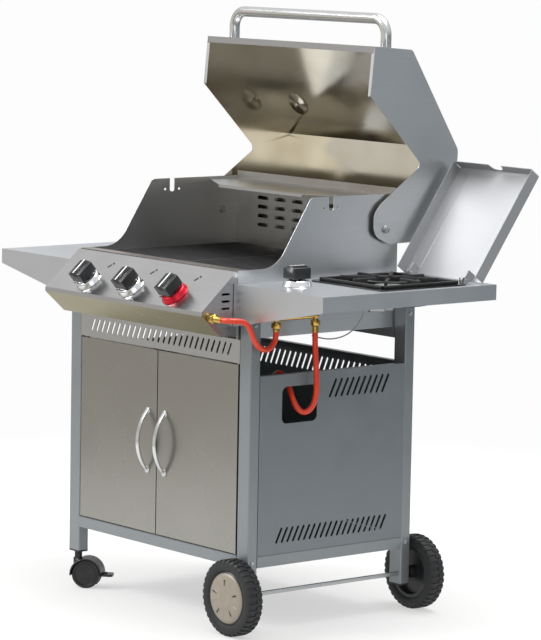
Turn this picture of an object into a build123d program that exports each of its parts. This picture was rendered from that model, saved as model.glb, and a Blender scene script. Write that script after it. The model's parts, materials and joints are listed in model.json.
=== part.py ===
from build123d import *
import math
import os

# Gas barbecue trolley: three main burners under a lifting hood and a side burner under its own lid.
# Millimetres, +Z up, -Y is the front, origin on the floor under the middle of the whole grill.

# ---- driving dimensions ---------------------------------------------------------------------
SHEET = 1.5                 # stainless sheet of the cooking box and the trolley
CABINET_W = 680.0           # outside of the legs, left to right
CABINET_D = 488.0           # outside of the legs, front to back
LEG_FACE = 40.0             # a leg's width across the front
LEG_SIDE = 28.0             # a leg's depth
SHELF_Z = 792.0             # top of both side shelves
SHELF_OUT = 605.0           # outer edge of a shelf from the middle
SHELF_FRONT = -262.0
SHELF_REAR = 250.0
LEFT_LEG_FOOT = 92.0        # the left legs end above the casters
RIGHT_LEG_FOOT = 65.0       # the right legs end just under the axle
RAIL_Z = 150.0              # underside of the bottom rails
RAIL_H = 25.0
PANEL_TOP = 585.0           # top edge of the side and rear panels
DOOR_TOP = 609.0
DOOR_DEPTH = 16.0
DOOR_EDGE = 296.0           # outer edge of a door from the middle
DOOR_PIN_X = 287.5
DOOR_PIN_Y = -236.0
BOX_HALF = 297.0            # outside of the firebox side plates
BOX_FLOOR = 665.5
BOX_FRONT = -250.0
BOX_REAR = 222.0
RIM_Z = 821.0               # front rim of the firebox
LEDGE_Z = 976.0             # top of the firebox side plates
LEDGE_TOP = 970.0           # warming ledge
LEDGE_FRONT = 50.0
LEDGE_CORNER = (155.0, 134.0)   # where the ledge's front ends, and how far forward its sides reach
HOOD_HALF = 308.0           # outside of the hood side plates
PIVOT_Y = 175.0
PIVOT_Z = 895.0
FACE_TOP = (-256.0, 819.0)  # control panel: top edge, nose and underside, as (y, z)
FACE_NOSE = (-352.0, 734.0)
NOSE_DROP = 10.0
FACE_HEEL = (-297.0, 675.0)
KNOB_DOWN = 90.0            # distance of a knob down the sloping face
KNOB_PITCH = 163.0
KNOB_OUT = 17.0             # underside of a knob above its panel
KNOB_LONG = 48.0
STEM_R = 3.0
MANIFOLD = (-327.0, 719.0)
BURNER_Z = 725.0
BURNER_PITCH = 180.0
GRATE_Z = 800.0
WHEEL_R = 87.5
WHEEL_W = 44.0
AXLE_X = 325.0
AXLE_R = 5.0
WHEEL_GAP = 7.0             # between a wheel and its leg
CASTER_R = 34.0
CASTER_TRAIL = 22.0
CASTER_YAW = {"front": 42.0, "rear": 18.0}
LID_PIVOT = (197.0, 800.0)
LID_TILT = 54.6             # the open side lid's angle from flat
LID_LENGTH = 300.0
LID_LIP = 28.0
LID_X = (327.0, 592.0)
LID_RISE = 21.0             # lid sheet above its pivot when shut
HOSE_R = 6.5
RUNNING = 0.06              # radial clearance of a pin in its hole
CENTRE_Y = -12.0            # moves the cabinet's middle so that the whole grill is centred

parts = {}


# ---- helpers --------------------------------------------------------------------------------
def block(x0, x1, y0, y1, z0, z1):
    middle = ((x0 + x1) / 2, (y0 + y1) / 2, (z0 + z1) / 2)
    return Pos(*middle) * Box(abs(x1 - x0), abs(y1 - y0), abs(z1 - z0))


def rod(start, end, radius, bore=0.0):
    start, end = Vector(*start), Vector(*end)
    plane = Plane(origin=start, z_dir=end - start)
    section = Circle(radius) - Circle(bore) if bore else Circle(radius)
    return extrude(plane * section, (end - start).length)


def side_plate(points, x0, x1):
    """A flat plate with a (y, z) outline between two x values."""
    outline = make_face(Polyline(*[(0, y, z) for y, z in points], close=True))
    return extrude(Pos(x0, 0, 0) * outline, x1 - x0, dir=(1, 0, 0))


def rounded(outline, radii):
    """A (y, z) polygon whose corners take the radii given by their index."""
    face = make_face(Polyline(*[(0, y, z) for y, z in outline], close=True))
    for index, radius in radii.items():
        y, z = outline[index]
        corner = min(face.vertices(), key=lambda v: abs(v.Y - y) + abs(v.Z - z))
        face = fillet(corner, radius)
    return face


def offset_point(before, here, after, distance):
    """The corner of a line moved to its left by a distance."""
    normals = []
    for a, b in ((before, here), (here, after)):
        if a is None or b is None:
            continue
        length = math.dist(a, b)
        normals.append(((a[1] - b[1]) / length, (b[0] - a[0]) / length))
    ny = sum(n[0] for n in normals)
    nz = sum(n[1] for n in normals)
    scale = distance * len(normals) / (ny * ny + nz * nz)
    return (here[0] + ny * scale, here[1] + nz * scale)


def bent_sheet(path, x0, x1, thickness=SHEET):
    """A sheet bent along a (y, z) path, with its thickness on the left of the path."""
    ends = [None] + list(path) + [None]
    other = [offset_point(ends[i], ends[i + 1], ends[i + 2], thickness) for i in range(len(path))]
    return side_plate(list(path) + other[::-1], x0, x1)


def frame_pair(shape):
    return [shape, mirror(shape, about=Plane.YZ)]


def slanted_slots(first, step, count, low, high, width, lean, thickness, normal):
    """Cutters for a row of leaning slots. The row runs along X on a front face or Y on a side face."""
    cutters = []
    length = (high - low) / math.cos(math.radians(lean))
    for index in range(count):
        along = first + index * step
        slot = Rot(0, 0, 90 - lean) * SlotOverall(length, width)
        middle = (low + high) / 2
        if normal == "y":
            plane = Plane(origin=(along, 0, middle), x_dir=(1, 0, 0), z_dir=(0, -1, 0))
        else:
            plane = Plane(origin=(0, along, middle), x_dir=(0, 1, 0), z_dir=(1, 0, 0))
        cutters.append(extrude(plane * slot, thickness / 2, both=True))
    return cutters


def at_face(across, down, out):
    """A point on the control panel: x across, distance down the slope, height out of the face."""
    dy, dz = FACE_NOSE[0] - FACE_TOP[0], FACE_NOSE[1] - FACE_TOP[1]
    slope = math.hypot(dy, dz)
    uy, uz = dy / slope, dz / slope
    return (across, FACE_TOP[0] + uy * down + uz * out, FACE_TOP[1] + uz * down - uy * out)


def tube_along(points, radius):
    """A straight-and-arc tube, each corner's arc as large as its two runs allow."""
    radii = []
    for a, b, c in zip(points, points[1:], points[2:]):
        first, second = Vector(*b) - Vector(*a), Vector(*c) - Vector(*b)
        turn = math.radians(first.get_angle(second))
        radii.append(0.45 * min(first.length, second.length) / math.tan(turn / 2))
    path = FilletPolyline(*points, radius=radii)
    section = Plane(origin=path @ 0, z_dir=path % 0) * Circle(radius)
    return sweep(section, path=path), [round(r, 1) for r in radii], path.length


# ---- trolley --------------------------------------------------------------------------------
HALF_W, HALF_D = CABINET_W / 2, CABINET_D / 2
LEG_X, LEG_Y = HALF_W - LEG_FACE / 2, HALF_D - LEG_SIDE / 2
LEG_TOP = SHELF_Z - SHEET
INNER_X, INNER_Y = HALF_W - LEG_FACE, HALF_D - LEG_SIDE
DOOR_BOTTOM = RAIL_Z + RAIL_H + 4.0
SCREW_R = 2.5
SCREW_SPOTS = [(side, y, z) for side in (-1, 1) for y in (-LEG_Y, LEG_Y) for z in (RAIL_Z + 12.5, 700.0)]


def screw(point, direction, head=4.8, length=9.0):
    """A dome-head screw whose head sits on a face and whose shank goes in."""
    plane = Plane(origin=point, z_dir=direction)
    cap = extrude(Circle(head), 2.4)
    cap = chamfer(cap.faces().sort_by(Axis.Z)[-1].edges(), 1.2)
    socket = extrude(Pos(0, 0, 1.4) * RegularPolygon(2.0, 6), 2)
    shank = Pos(0, 0, -length) * extrude(Circle(SCREW_R - RUNNING), length)
    return plane * (cap - socket + shank)


def leg(x, y, foot):
    tube = RectangleRounded(LEG_FACE, LEG_SIDE, 3) - RectangleRounded(LEG_FACE - 3, LEG_SIDE - 3, 1.5)
    body = Pos(x, y, foot) * extrude(tube, LEG_TOP - foot)
    side = 1 if x > 0 else -1
    for _, spot_y, z in [s for s in SCREW_SPOTS if s[0] == side and s[1] * y > 0]:
        body -= rod((side * (HALF_W - 3), spot_y, z), (side * (HALF_W + 1), spot_y, z), SCREW_R)
    if x > 0:
        body -= rod((AXLE_X, y - 20, WHEEL_R), (AXLE_X, y + 20, WHEEL_R), AXLE_R + RUNNING)
    return body


def trolley():
    parts["legs"] = [leg(x, y, LEFT_LEG_FOOT if x < 0 else RIGHT_LEG_FOOT)
                     for x in (-LEG_X, LEG_X) for y in (-LEG_Y, LEG_Y)]
    plug = extrude(RectangleRounded(LEG_FACE, LEG_SIDE, 3), -4)
    plug += extrude(RectangleRounded(LEG_FACE - 3.2, LEG_SIDE - 3.2, 1.4), 16)
    socket = plug + extrude(RectangleRounded(LEG_FACE - 3.2, LEG_SIDE - 3.2, 1.4), 30)
    socket -= Pos(0, 0, -5) * extrude(Circle(5.5 + RUNNING), 31)
    parts["leg_plugs"] = [Pos(-LEG_X, y, LEFT_LEG_FOOT) * socket for y in (-LEG_Y, LEG_Y)]
    parts["leg_plugs"] += [Pos(LEG_X, y, RIGHT_LEG_FOOT) * plug for y in (-LEG_Y, LEG_Y)]

    def channel_x(y0, y1, z0, z1):
        hollow = block(-INNER_X, INNER_X, y0 + SHEET, y1 - SHEET, z0 + SHEET, z1 - SHEET)
        return block(-INNER_X, INNER_X, y0, y1, z0, z1) - hollow

    top = RAIL_Z + RAIL_H
    side_rail = block(HALF_W - 25, HALF_W, -INNER_Y, INNER_Y, RAIL_Z, top)
    side_rail -= block(HALF_W - 25 + SHEET, HALF_W - SHEET, -INNER_Y, INNER_Y, RAIL_Z + SHEET, top - SHEET)
    front, rear = channel_x(-HALF_D, -INNER_Y, RAIL_Z, top), channel_x(INNER_Y, HALF_D, RAIL_Z, top)
    upper = channel_x(INNER_Y, HALF_D, BOX_FLOOR - RAIL_H, BOX_FLOOR)
    parts["frame_rails"] = [front, rear, upper] + frame_pair(side_rail)

    rail = [(-HALF_D + 19, DOOR_TOP + 3), (-HALF_D + 0.6, DOOR_TOP + 3),
            (-HALF_D + 0.6, BOX_FLOOR), (-HALF_D + 19, BOX_FLOOR)]
    slotted = bent_sheet(rail[::-1], -INNER_X, INNER_X)
    slotted -= slanted_slots(-253, 19.8, 27, 627, 656, 6.0, 24, 600, "y")
    for side in (-1, 1):
        slotted -= rod((side * DOOR_PIN_X, DOOR_PIN_Y, 600), (side * DOOR_PIN_X, DOOR_PIN_Y, 620), 3.0)
    parts["front_top_rail"] = slotted

    floor = block(-HALF_W + 1, HALF_W - 1, -HALF_D + 1, HALF_D - 1, top, top + SHEET)
    for x in (-LEG_X, LEG_X):
        for y in (-LEG_Y, LEG_Y):
            floor -= block(x - LEG_FACE / 2 - 2, x + LEG_FACE / 2 + 2, y - 16, y + 16, top - 5, top + 5)
    for side in (-1, 1):
        floor -= rod((side * DOOR_PIN_X, DOOR_PIN_Y, 170), (side * DOOR_PIN_X, DOOR_PIN_Y, 180), 3.0)
    parts["base_shelf"] = floor

    panel_low = top + SHEET + 0.5
    panel = block(HALF_W - SHEET, HALF_W, -INNER_Y, INNER_Y, panel_low, PANEL_TOP)
    panel += block(HALF_W - 16, HALF_W, -INNER_Y, INNER_Y, PANEL_TOP - SHEET, PANEL_TOP)
    left = mirror(panel, about=Plane.YZ)
    for sheet_side, node in ((panel, "side_panel_right"), (left, "side_panel_left")):
        sheet_side -= slanted_slots(-2, 17.6, 10, 523, 565, 6.5, 26, 900, "x")
        sheet_side -= slanted_slots(-154, 16.4, 20, 201, 236, 6.0, 26, 900, "x")
        parts[node] = sheet_side
    window = extrude(Plane.YZ * Pos(-100, 515) * RectangleRounded(103, 84, 14), 500)
    parts["side_panel_right"] -= window

    back = block(-INNER_X, INNER_X, HALF_D - SHEET, HALF_D, panel_low, PANEL_TOP)
    back += block(-INNER_X, INNER_X, HALF_D - 16, HALF_D, PANEL_TOP - SHEET, PANEL_TOP)
    back -= slanted_slots(-253, 19.8, 27, 524, 562, 6.0, 24, 600, "y")
    parts["rear_panel"] = back


def doors():
    gap, pin_r = 1.5, 3.0
    right = block(gap, DOOR_EDGE, -HALF_D, -HALF_D + DOOR_DEPTH, DOOR_BOTTOM, DOOR_TOP)
    right -= block(gap + SHEET, DOOR_EDGE - SHEET, -HALF_D + SHEET, 0, DOOR_BOTTOM + SHEET,
                   DOOR_TOP - SHEET)
    hinge = (DOOR_PIN_X, DOOR_PIN_Y)
    right -= rod((*hinge, DOOR_BOTTOM - 1), (*hinge, DOOR_TOP + 1), pin_r + RUNNING)
    left = mirror(right, about=Plane.YZ)

    low, high, reach = 323.0, 467.0, 30.0
    bow = ThreePointArc((0, -HALF_D, low), (0, -HALF_D - reach, (low + high) / 2), (0, -HALF_D, high))
    strap = Plane(origin=bow @ 0, z_dir=bow % 0, x_dir=(1, 0, 0)) * RectangleRounded(11, 5, 2)
    grip = sweep(strap, path=bow)
    grip -= block(-20, 20, -HALF_D, -HALF_D + 30, low - 20, high + 20)
    grip += [Pos(0, -HALF_D - 1.5, z) * Rot(90, 0, 0) * Cylinder(8, 3) for z in (low + 3, high - 3)]
    parts["door_right"] = [right, Pos(30, 0, 0) * grip]
    parts["door_left"] = [left, Pos(-34, 0, 0) * grip]

    pins = []
    for side in (-1, 1):
        x = side * DOOR_PIN_X
        pins.append(rod((x, DOOR_PIN_Y, DOOR_TOP - 6), (x, DOOR_PIN_Y, DOOR_TOP + 10), pin_r))
        pins.append(rod((x, DOOR_PIN_Y, RAIL_Z + RAIL_H), (x, DOOR_PIN_Y, DOOR_BOTTOM + 7), pin_r))
    catch = block(8, 42, -225, -210, DOOR_TOP - 9, DOOR_TOP + 3)
    parts["door_fittings"] = pins + frame_pair(catch)


# ---- wheels and casters ---------------------------------------------------------------------
def wheels():
    nut_face = HALF_D + WHEEL_GAP + WHEEL_W / 2 + 15.3
    reach = nut_face + 5
    axle = rod((AXLE_X, -reach, WHEEL_R), (AXLE_X, reach, WHEEL_R), AXLE_R)
    nuts = []
    for side in (-1, 1):
        seat = Plane(origin=(AXLE_X, side * nut_face, WHEEL_R), z_dir=(0, side, 0))
        nuts.append(extrude(seat * RegularPolygon(9, 6), 5) - axle)
    parts["axle"] = [axle] + nuts

    half = WHEEL_W / 2
    tread = [(62, -half + 4), (74, -half), (83, -half + 1), (WHEEL_R, -half + 7),
             (WHEEL_R, half - 7), (83, half - 1), (74, half), (62, half - 4)]
    tyre = revolve(make_face(Polyline(*[(r, 0, z) for r, z in tread], close=True)), Axis.Z)
    lugs = []
    for index in range(28):
        for side in (-1, 1):
            angle = (index + (0.5 if side > 0 else 0)) * 360 / 28
            lugs.append(Rot(0, 0, angle) * Pos(WHEEL_R, 0, side * 15) * Box(7, 7, 15))
    tyre -= lugs

    rim = [(AXLE_R + RUNNING, -19), (14, -19), (14, -4), (52, -4), (54, -17), (61.9, -17), (61.9, 17),
           (54, 17), (52, 4), (14, 4), (14, 15), (AXLE_R + RUNNING, 15)]
    hub = revolve(make_face(Polyline(*[(r, 0, z) for r, z in rim], close=True)), Axis.Z)
    dome = [(0, 25), (20, 25), (24, 23), (50, 22.5), (58, 17.2), (54.2, 17.2), (49, 20), (0, 21)]
    cap = revolve(make_face(Polyline(*[(r, 0, z) for r, z in dome], close=True)), Axis.Z)
    cap -= [Rot(0, 0, i * 72) * Pos(37, 0, 22) * Box(18, 6, 12) for i in range(5)]
    for name, side in (("wheel_front", -1), ("wheel_rear", 1)):
        centre = Pos(AXLE_X, side * (HALF_D + WHEEL_GAP + half), WHEEL_R) * Rot(-90 * side, 0, 0)
        parts[name] = [centre * tyre, centre * hub, centre * cap]


def caster(end):
    """One hooded twin-wheel caster, made trailing along +X and then turned and placed."""
    hood = Rot(90, 0, 0) * (Cylinder(CASTER_R + 4.5, 52) - Cylinder(CASTER_R + 1.2, 60))
    hood = Pos(CASTER_TRAIL, 0, CASTER_R) * hood
    hood -= block(-80, 120, -40, 40, -40, CASTER_R - 3)
    hood += Pos(CASTER_TRAIL, 0, CASTER_R) * Rot(90, 0, 0) * Cylinder(CASTER_R + 1.5, 8)
    hood -= block(-80, 120, -40, 40, -40, 8)
    hood += block(CASTER_TRAIL + 30, CASTER_TRAIL + 48, -4, 4, 27, 38)
    hood += Pos(0, 0, 56) * Cylinder(12, 30)
    hood += Pos(CASTER_TRAIL, 0, CASTER_R) * Rot(90, 0, 0) * Cylinder(12, 8)
    wheel_room = Pos(CASTER_TRAIL, 0, CASTER_R) * Rot(90, 0, 0) * Cylinder(CASTER_R + 1.2, 60)
    hood -= wheel_room - block(-80, 120, -4, 4, 0, 80)
    hood += rod((0, 0, 70), (0, 0, 114), 5.5)
    hood += rod((0, 0, 70), (0, 0, 86), 9)
    hood -= rod((CASTER_TRAIL, -6, CASTER_R), (CASTER_TRAIL, 6, CASTER_R), 4 + RUNNING)
    pin = (CASTER_TRAIL + 43.5, 32)
    hood -= rod((pin[0], -6, pin[1]), (pin[0], 6, pin[1]), 2.5 + RUNNING)

    disc = Pos(CASTER_TRAIL, 0, CASTER_R) * Rot(90, 0, 0) * Cylinder(CASTER_R, 17.5)
    disc = fillet(disc.edges(), 3)
    wheel = Pos(0, 14, 0) * disc + Pos(0, -14, 0) * disc
    wheel += rod((CASTER_TRAIL, -8, CASTER_R), (CASTER_TRAIL, 8, CASTER_R), 4)

    lever = block(pin[0] - 3, pin[0] + 20, -15, 15, pin[1] - 3, pin[1] + 3)
    lever = fillet(lever.edges().filter_by(Axis.Z).sort_by(Axis.X)[-2:], 7)
    lever -= block(pin[0] - 6, pin[0] + 7, -4.4, 4.4, 0, 60)
    lever += rod((pin[0], -15, pin[1]), (pin[0], 15, pin[1]), 2.5)
    y = -LEG_Y if end == "front" else LEG_Y
    place = Pos(-LEG_X, y, 0) * Rot(0, 0, CASTER_YAW[end])
    parts[f"caster_{end}"] = place * hood
    parts[f"caster_wheels_{end}"] = place * wheel
    parts[f"brake_lever_{end}"] = place * lever


# ---- cooking box ----------------------------------------------------------------------------
def firebox():
    curve = [(BOX_FRONT, BOX_FLOOR), (BOX_FRONT, RIM_Z), (-140, RIM_Z), (-41, LEDGE_Z),
             (BOX_REAR, LEDGE_Z), (BOX_REAR, BOX_FLOOR)]
    outline = rounded(curve, {2: 75, 3: 12})
    outline -= Plane.YZ * Pos(19, LEDGE_Z) * RectangleRounded(14, 64, 6)
    outline -= [Plane.YZ * Pos(y, 950) * Circle(3) for y in (-2, 40)]
    plate = extrude(Pos(BOX_HALF - SHEET, 0, 0) * outline, SHEET, dir=(1, 0, 0))
    plate -= rod((280, PIVOT_Y, PIVOT_Z), (300, PIVOT_Y, PIVOT_Z), 5)
    parts["firebox_sides"] = frame_pair(plate)

    inner = BOX_HALF - SHEET
    back = block(-inner, inner, BOX_REAR - SHEET, BOX_REAR, 692, LEDGE_Z + 12)
    vents = []
    for column in range(7):
        for row in range(4):
            spot = Plane.XZ * Pos(-195 + column * 65, 862 + row * 22) * SlotOverall(40, 9)
            vents.append(extrude(Pos(0, BOX_REAR, 0) * spot, 8, both=True))
    baffle_y = BOX_REAR + 14
    baffle = block(-242, 242, BOX_REAR, baffle_y + SHEET, 846, 944)
    baffle -= block(-242 + SHEET, 242 - SHEET, BOX_REAR, baffle_y, 840, 944 - SHEET)
    parts["firebox_back"] = [back - vents, baffle]

    front = bent_sheet([(-221, BOX_FLOOR), (-221, RIM_Z), (BOX_FRONT, RIM_Z)], -inner, inner)
    front -= [rod((x, -240, BURNER_Z), (x, -200, BURNER_Z), 11) for x in (-BURNER_PITCH, 0, BURNER_PITCH)]
    parts["firebox_front"] = front

    corner_x, side_y = LEDGE_CORNER
    outline = [(-inner, side_y), (-corner_x, LEDGE_FRONT), (corner_x, LEDGE_FRONT), (inner, side_y),
               (inner, BOX_REAR - SHEET), (-inner, BOX_REAR - SHEET)]
    ledge = extrude(Pos(0, 0, LEDGE_TOP - SHEET) * make_face(Polyline(*outline, close=True)), SHEET)
    ledge += block(-corner_x, corner_x, LEDGE_FRONT, LEDGE_FRONT + SHEET, LEDGE_TOP - 7, LEDGE_TOP)
    parts["warming_ledge"] = ledge

    def rest(y, toward):
        upright = block(-inner, inner, y, y + toward * SHEET, 755, GRATE_Z)
        upper = block(-inner, inner, y, y + toward * 16, GRATE_Z - SHEET, GRATE_Z)
        lower = block(-inner, inner, y, y + toward * 22, 755, 758)
        return upright + upper + lower

    crossbar = block(-inner, inner, 120, 140, BURNER_Z - 28, BURNER_Z - 16)
    runner = block(inner - 15, inner, -210, 218, 667, 668.5)
    runner += block(inner - SHEET, inner, -210, 218, 667, 690)
    rests = [rest(-221 + SHEET, 1), rest(BOX_REAR - SHEET, -1)]
    parts["firebox_brackets"] = rests + [crossbar] + frame_pair(runner)

    tents, tubes = [], []
    for x in (-BURNER_PITCH, 0, BURNER_PITCH):
        roof = [(-52, 0), (0, 28), (52, 0), (52, 1.6), (0, 29.8), (-52, 1.6)]
        tent = extrude(Plane.XZ * make_face(Polyline(*roof, close=True)), 400)
        tents.append(Pos(x, 200, 758) * tent)
        tube = rod((x, -198, BURNER_Z), (x, 165, BURNER_Z), 16)
        tube += rod((x, -262, BURNER_Z), (x, -190, BURNER_Z), 10)
        tube -= rod((x, -263, BURNER_Z), (x, -150, BURNER_Z), 8.5)
        tube -= rod((x, -196, BURNER_Z), (x, 163, BURNER_Z), 14.5)
        tubes.append(tube)
    parts["heat_tents"] = tents
    parts["burner_tubes"] = tubes

    def grate(x0, x1):
        y0, y1 = -217.0, 218.0
        body = block(x0, x1, y0, y0 + 9, GRATE_Z, GRATE_Z + 11)
        body += block(x0, x1, y1 - 9, y1, GRATE_Z, GRATE_Z + 11)
        bars = 15
        pitch = (x1 - x0 - 7) / (bars - 1)
        for index in range(bars):
            x = x0 + index * pitch
            body += block(x, x + 7, y0, y1, GRATE_Z + 1, GRATE_Z + 12)
        for y in (-75, 70):
            body += block(x0, x1, y, y + 7, GRATE_Z, GRATE_Z + 8)
        return body

    parts["cooking_grate_left"] = grate(-inner + 2, -1.5)
    parts["cooking_grate_right"] = grate(1.5, inner - 2)

    wide = inner - 4
    tray = block(-wide, wide, -208, 214, 669, 690)
    tray -= block(-wide + 1.2, wide - 1.2, -207, 213, 670.2, 700)
    tray += block(-120, 120, 213, 236, 686, 687.5) + block(-120, 120, 234.5, 236, 674, 687.5)
    parts["drip_tray"] = tray


# ---- control panel and gas ------------------------------------------------------------------
VALVE_X = (-KNOB_PITCH, 0.0, KNOB_PITCH)
SIDE_VALVE = (400.0, -165.0)


def fascia():
    lip = (FACE_NOSE[0], FACE_NOSE[1] - NOSE_DROP)
    path = [(BOX_FRONT, FACE_TOP[1]), FACE_TOP, FACE_NOSE, lip, FACE_HEEL, (BOX_FRONT, FACE_HEEL[1])]
    skin = bent_sheet(path, -BOX_HALF, BOX_HALF)
    for x in VALVE_X:
        skin -= rod(at_face(x, KNOB_DOWN, -6), at_face(x, KNOB_DOWN, 6), 6)
    inset = [offset_point(None, path[0], path[1], SHEET + 0.02)]
    inset += [offset_point(path[i - 1], path[i], path[i + 1], SHEET + 0.02) for i in range(1, 5)]
    inset += [offset_point(path[4], path[5], None, SHEET + 0.02)]
    end = side_plate(inset, BOX_HALF - SHEET - 1, BOX_HALF - 1)
    for z in (738, 754, 770):
        end -= Pos(BOX_HALF - 2, -284, z) * Box(10, 22, 5)
    end -= Pos(BOX_HALF - 2, -284, 692) * Box(10, 22, 5)
    end -= rod((280, *MANIFOLD), (310, *MANIFOLD), 8.6)
    parts["fascia"] = [skin] + frame_pair(end)

    ring_profile = [(8, 0), (33, 0), (33, 2), (29, 11), (27, 13.5), (24, 14), (22, 12), (21, 8), (8, 6)]
    ring = revolve(make_face(Polyline(*[(r, 0, z) for r, z in ring_profile], close=True)), Axis.Z)
    rings = [face_plane(x) * ring for x in VALVE_X]
    rings.append(Pos(*SIDE_VALVE, SHELF_Z) * ring)
    parts["bezels"] = rings

    gable = [(-21, 0), (21, 0), (21, 25), (3, 30), (-3, 30), (-21, 25)]
    grip = extrude(Plane.XZ * make_face(Polyline(*gable, close=True)), KNOB_LONG)
    grip = Pos(0, KNOB_LONG / 2, KNOB_OUT) * grip
    grip = chamfer(grip.faces().filter_by(Axis.Y).edges(), 2.5)
    knob = grip + Pos(0, 0, KNOB_OUT + 1) * Cylinder(21, 3)
    knob -= rod((0, 0, KNOB_OUT - 7), (0, 0, KNOB_OUT + 19), STEM_R + RUNNING)
    stem = rod((0, 0, -17), (0, 0, KNOB_OUT + 17), STEM_R)
    for index, x in enumerate(VALVE_X, start=1):
        parts[f"knob_{index}"] = face_plane(x) * knob
        parts[f"valve_stem_{index}"] = face_plane(x) * stem
    side = Pos(*SIDE_VALVE, SHELF_Z)
    parts["side_knob"] = side * knob
    parts["side_valve_stem"] = side * stem


def face_plane(x):
    """A frame on the control panel at a knob: Z out of the face, Y up the slope."""
    origin, out = at_face(x, KNOB_DOWN, 0), at_face(x, KNOB_DOWN, 1)
    return Plane(origin=origin, x_dir=(1, 0, 0), z_dir=tuple(b - a for a, b in zip(origin, out)))


def gas_train():
    y, z = MANIFOLD
    pipe = rod((-285, y, z), (286, y, z), 8.5)
    tail = rod((286, y, z), (300, y, z), 8.5)
    nut = extrude(Plane(origin=(300, y, z), z_dir=(1, 0, 0)) * RegularPolygon(12, 6), 14)
    barb = rod((314, y, z), (332, y, z), 7.5)
    manifold = pipe + tail + nut + barb
    solids = [manifold]
    for x, burner_x in zip(VALVE_X, (-BURNER_PITCH, 0, BURNER_PITCH)):
        body = rod(at_face(x, KNOB_DOWN, -40), at_face(x, KNOB_DOWN, -10), 11)
        low = at_face(x, KNOB_DOWN, -33)
        body += rod((x, y, z), low, 6)
        body += rod(low, (burner_x, -268, BURNER_Z), 5)
        body -= rod(at_face(x, KNOB_DOWN, -24), at_face(x, KNOB_DOWN, 5), 3 + RUNNING)
        solids.append(body - manifold)
    parts["gas_manifold"] = solids

    sx, sy = SIDE_VALVE
    valve = rod((sx, sy, SHELF_Z - 62), (sx, sy, SHELF_Z - 10), 11)
    valve -= rod((sx, sy, SHELF_Z - 24), (sx, sy, SHELF_Z), 3 + RUNNING)
    parts["side_gas_train"] = [side_pipe(valve, sx, sy)]


PIPE_X, PIPE_Z = 356.0, 716.0
HOSE_A_END_Y, HOSE_B_END_Y = -186.0, -72.0


def side_pipe(valve, sx, sy):
    """Brass pipe under the right shelf: hose in at the rear, hose out at the front, valve above."""
    body = valve + rod((PIPE_X, HOSE_A_END_Y, PIPE_Z), (PIPE_X, HOSE_B_END_Y, PIPE_Z), 6)
    body += [Pos(PIPE_X, y, PIPE_Z) * Sphere(8) for y in (HOSE_A_END_Y, HOSE_B_END_Y)]
    body += rod((PIPE_X, sy, PIPE_Z), (PIPE_X, sy, SHELF_Z - 40), 6)
    body += rod((PIPE_X - 3, sy, SHELF_Z - 38), (sx, sy, SHELF_Z - 38), 6)
    body += rod((sx, sy, SHELF_Z - 56), (438, 8, SHELF_Z - 56), 4)
    for y in (HOSE_A_END_Y, HOSE_B_END_Y):
        body += rod((PIPE_X, y, PIPE_Z), (PIPE_X, y, PIPE_Z - 24), 6)
        body += extrude(Pos(PIPE_X, y, PIPE_Z - 22) * RegularPolygon(11, 6), 12)
    return body


# Routes of the two gas hoses and of the igniter lead, chosen by hand, from fitting to fitting.
HOSE_A = [(332, -327, 719), (350, -327, 719), (364, -318, 719), (369, -300, 718), (369, -282, 712),
          (368, -270, 697), (366, -260, 678), (363, -246, 660), (359, -226, 648), (357, -204, 648),
          (356, -189, 664), (356, -186, 680), (356, -186, 692)]
HOSE_B = [(356, -72, 692), (356, -72, 664), (357, -71, 634), (358, -69, 600), (360, -68, 566),
          (359, -68, 534), (357, -74, 511), (351, -87, 496), (341, -99, 497), (330, -106, 513),
          (318, -107, 534), (303, -104, 556), (283, -102, 574), (258, -98, 578), (234, -92, 562),
          (217, -84, 534), (208, -76, 496), (203, -66, 452), (198, -54, 404), (192, -40, 354),
          (182, -24, 304), (166, -6, 260), (146, 10, 226), (121, 22, 203), (94, 30, 189),
          (66, 34, 186), (44, 36, 186)]
LEAD = [(421, 20, 742), (414, 22, 722), (398, 24, 700), (380, 24, 682), (362, 20, 668), (345, 12, 659),
        (327, 0, 654), (308, -14, 655), (290, -26, 660)]


def hoses():
    for node, route, radius in (("hose_a", HOSE_A, HOSE_R), ("hose_b", HOSE_B, HOSE_R),
                                ("igniter_lead", LEAD, 1.5)):
        parts[node], radii, length = tube_along(route, radius)
        print(node, "length", round(length, 1), "smallest bend", min(radii))

    def ferrule(start, toward, depth):
        start, toward = Vector(*start), Vector(*toward)
        end = start + (toward - start).normalized() * depth
        return rod(tuple(start), tuple(end), HOSE_R + 1.3, HOSE_R + 0.15)

    parts["hose_ferrules"] = [ferrule(HOSE_A[0], HOSE_A[1], 9), ferrule(HOSE_A[-1], HOSE_A[-2], 6),
                              ferrule(HOSE_B[0], HOSE_B[1], 14), ferrule(HOSE_B[-1], HOSE_B[-2], 11)]
    tip, before = Vector(*HOSE_B[-1]), Vector(*HOSE_B[-2])
    along = (tip - before).normalized()
    flat = Vector(along.X, along.Y, 0).normalized()
    body_centre = tip + flat * 46 + Vector(0, 0, 5)
    regulator = rod(tuple(tip), tuple(tip + flat * 30), 6)
    regulator += Pos(*body_centre) * Cylinder(29, 18)
    regulator += Pos(body_centre.X, body_centre.Y, body_centre.Z + 14) * Cylinder(19, 12)
    regulator += rod(tuple(body_centre + flat * 20), tuple(body_centre + flat * 52), 9)
    regulator += extrude(Plane(origin=body_centre + flat * 52, z_dir=flat) * RegularPolygon(14, 8), 18)
    parts["regulator"] = regulator


# ---- shelves and side burner ----------------------------------------------------------------
HOB = (336.0, 586.0, -76.0, 182.0)
HOB_CENTRE = (461.0, 53.0)


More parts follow.
